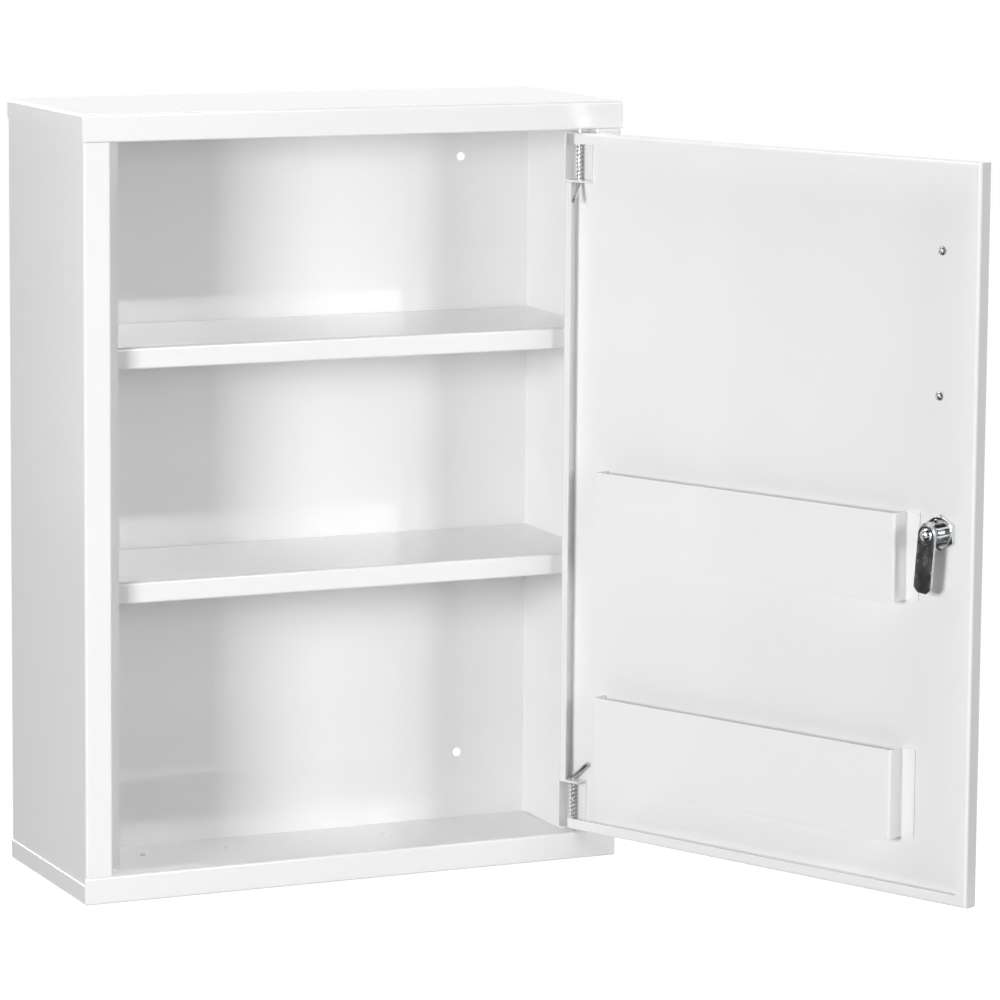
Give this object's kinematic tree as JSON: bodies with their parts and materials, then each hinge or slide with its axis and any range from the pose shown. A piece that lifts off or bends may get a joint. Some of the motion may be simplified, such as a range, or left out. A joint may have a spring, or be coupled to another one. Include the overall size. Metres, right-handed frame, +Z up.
{
  "type": "lockable medicine cabinet",
  "caption": "Wall-hung steel medicine cabinet with two fixed shelves, a hinged door with two pockets on its inside, spring-pin hinges and a cam lock.",
  "frame": {"origin": "middle of the rectangle of wall holes, on the rear face that lies against the wall", "axes": "+Z up, +Y into the wall, the doorway faces -Y, the hinges are at +X"},
  "size_m": [0.5861, 0.521, 0.6],
  "materials": {
    "white_paint": "glossy white powder coat",
    "zinc_plate": "bright zinc plating",
    "chrome_plate": "polished chrome plating",
    "spring_steel": "bright drawn wire"
  },
  "bodies": {
    "cabinet": {"top_panel": "white_paint", "bottom_panel": "white_paint", "left_side_panel": "white_paint", "right_side_panel": "white_paint", "back_panel": "white_paint", "upper_shelf": "white_paint", "lower_shelf": "white_paint", "floor_rivets": "white_paint"},
    "door": {"door_panel": "white_paint", "upper_hinge_bracket": "white_paint", "lower_hinge_bracket": "white_paint", "upper_hinge_spring": "spring_steel", "lower_hinge_spring": "spring_steel", "upper_door_pocket": "white_paint", "lower_door_pocket": "white_paint", "pull_handle": "chrome_plate", "handle_screws": "zinc_plate", "lock_housing": "chrome_plate", "lock_nut": "chrome_plate"},
    "upper_pin": {"upper_hinge_pin": "zinc_plate", "upper_pin_collar": "zinc_plate"},
    "lower_pin": {"lower_hinge_pin": "zinc_plate", "lower_pin_collar": "zinc_plate"},
    "lock_turning_parts": {"lock_plug": "chrome_plate", "lock_cam": "zinc_plate", "cam_washer": "zinc_plate", "cam_screw": "zinc_plate"}
  },
  "joints": [
    {"name": "door_swing", "type": "hinge", "parent": "cabinet", "child": "door", "pos_m": [0.189, -0.1648, 0], "axis": [0, 0, 1], "range_deg": [-114, 5]},
    {"name": "upper_pin_slide", "type": "slide", "parent": "door", "child": "upper_pin", "axis": [0, 0, -1], "range_m": [0, 0.007], "stiffness_N_per_m": 300, "springref_m": -0.008, "deforming": ["upper_hinge_spring"]},
    {"name": "lower_pin_slide", "type": "slide", "parent": "door", "child": "lower_pin", "axis": [0, 0, 1], "range_m": [0, 0.007], "stiffness_N_per_m": 300, "springref_m": -0.008, "deforming": ["lower_hinge_spring"]},
    {"name": "lock_turn", "type": "hinge", "parent": "door", "child": "lock_turning_parts", "pos_m": [0.33115, -0.48408, 0], "axis": [-0.9135, -0.4067, 0], "range_deg": [0, 90]}
  ]
}
